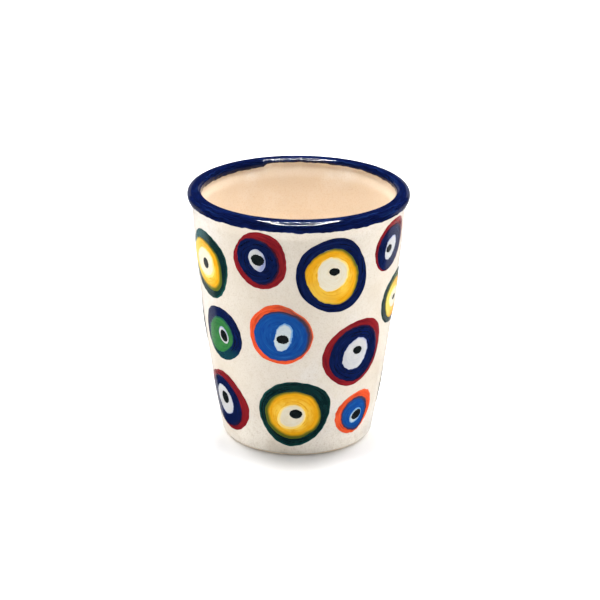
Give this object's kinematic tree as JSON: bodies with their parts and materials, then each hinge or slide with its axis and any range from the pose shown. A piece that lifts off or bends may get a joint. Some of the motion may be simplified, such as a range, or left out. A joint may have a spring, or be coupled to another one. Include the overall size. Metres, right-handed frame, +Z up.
{
  "type": "shot glass",
  "caption": "Small tapered ceramic drinking cup with a rolled cobalt lip, a cream inside and rows of hand-painted concentric eyes in red, navy, yellow, green, blue and orange.",
  "frame": {"origin": "centre of the foot, on the surface that the cup stands on", "axes": "+Z up along the cup's axis; -Y is the side with the big navy and yellow eye and the green and yellow eye below it, +X to the right of that side"},
  "size_m": [0.0514, 0.0514, 0.06],
  "materials": {
    "bisque_clay": "matt unglazed biscuit-fired clay",
    "white_glaze": "glossy, slightly warm white glaze with a faint mottle",
    "cream_glaze": "glossy cream glaze",
    "cobalt_glaze": "thick glossy cobalt blue, streaked by the brush",
    "paint_dark_green": "glossy dark green glaze paint",
    "paint_red": "glossy brick red glaze paint",
    "paint_navy": "glossy navy glaze paint",
    "paint_orange": "glossy orange glaze paint",
    "paint_yellow": "glossy golden yellow glaze paint, brushed in circles",
    "paint_green": "glossy leaf green glaze paint",
    "paint_blue": "glossy mid blue glaze paint",
    "paint_cream": "glossy cream glaze paint",
    "paint_white": "glossy bluish white glaze paint",
    "paint_pale_blue": "glossy pale blue glaze paint",
    "paint_black": "glossy black glaze paint"
  },
  "bodies": {
    "root": {"clay_body": "bisque_clay", "outside_glaze": "white_glaze", "inside_glaze": "cream_glaze", "underside_glaze": "white_glaze", "rim_band": "cobalt_glaze", "upper_eye_1_ring": "paint_dark_green", "upper_eye_2_ring": "paint_red", "upper_eye_3_ring": "paint_navy", "upper_eye_4_ring": "paint_red", "upper_eye_5_ring": "paint_navy", "upper_eye_6_ring": "paint_orange", "upper_eye_7_ring": "paint_red", "upper_eye_8_ring": "paint_dark_green", "upper_eye_9_ring": "paint_orange", "middle_eye_1_ring": "paint_navy", "middle_eye_2_ring": "paint_orange", "middle_eye_3_ring": "paint_red", "middle_eye_4_ring": "paint_dark_green", "middle_eye_5_ring": "paint_red", "middle_eye_6_ring": "paint_navy", "middle_eye_7_ring": "paint_orange", "middle_eye_8_ring": "paint_navy", "lower_eye_1_ring": "paint_red", "lower_eye_2_ring": "paint_dark_green", "lower_eye_3_ring": "paint_orange", "lower_eye_4_ring": "paint_dark_green", "lower_eye_5_ring": "paint_orange", "lower_eye_6_ring": "paint_navy", "lower_eye_7_ring": "paint_red", "upper_eye_1_disc": "paint_yellow", "upper_eye_2_disc": "paint_navy", "upper_eye_3_disc": "paint_yellow", "upper_eye_4_disc": "paint_navy", "upper_eye_5_disc": "paint_yellow", "upper_eye_6_disc": "paint_blue", "upper_eye_7_disc": "paint_navy", "upper_eye_8_disc": "paint_yellow", "upper_eye_9_disc": "paint_blue", "middle_eye_1_disc": "paint_green", "middle_eye_2_disc": "paint_blue", "middle_eye_3_disc": "paint_navy", "middle_eye_4_disc": "paint_yellow", "middle_eye_5_disc": "paint_navy", "middle_eye_6_disc": "paint_green", "middle_eye_7_disc": "paint_blue", "middle_eye_8_disc": "paint_yellow", "lower_eye_1_disc": "paint_navy", "lower_eye_2_disc": "paint_yellow", "lower_eye_3_disc": "paint_blue", "lower_eye_4_disc": "paint_yellow", "lower_eye_5_disc": "paint_blue", "lower_eye_6_disc": "paint_yellow", "lower_eye_7_disc": "paint_navy", "irises_cream": "paint_cream", "irises_white": "paint_white", "irises_pale_blue": "paint_pale_blue", "pupils": "paint_black"}
  },
  "joints": []
}
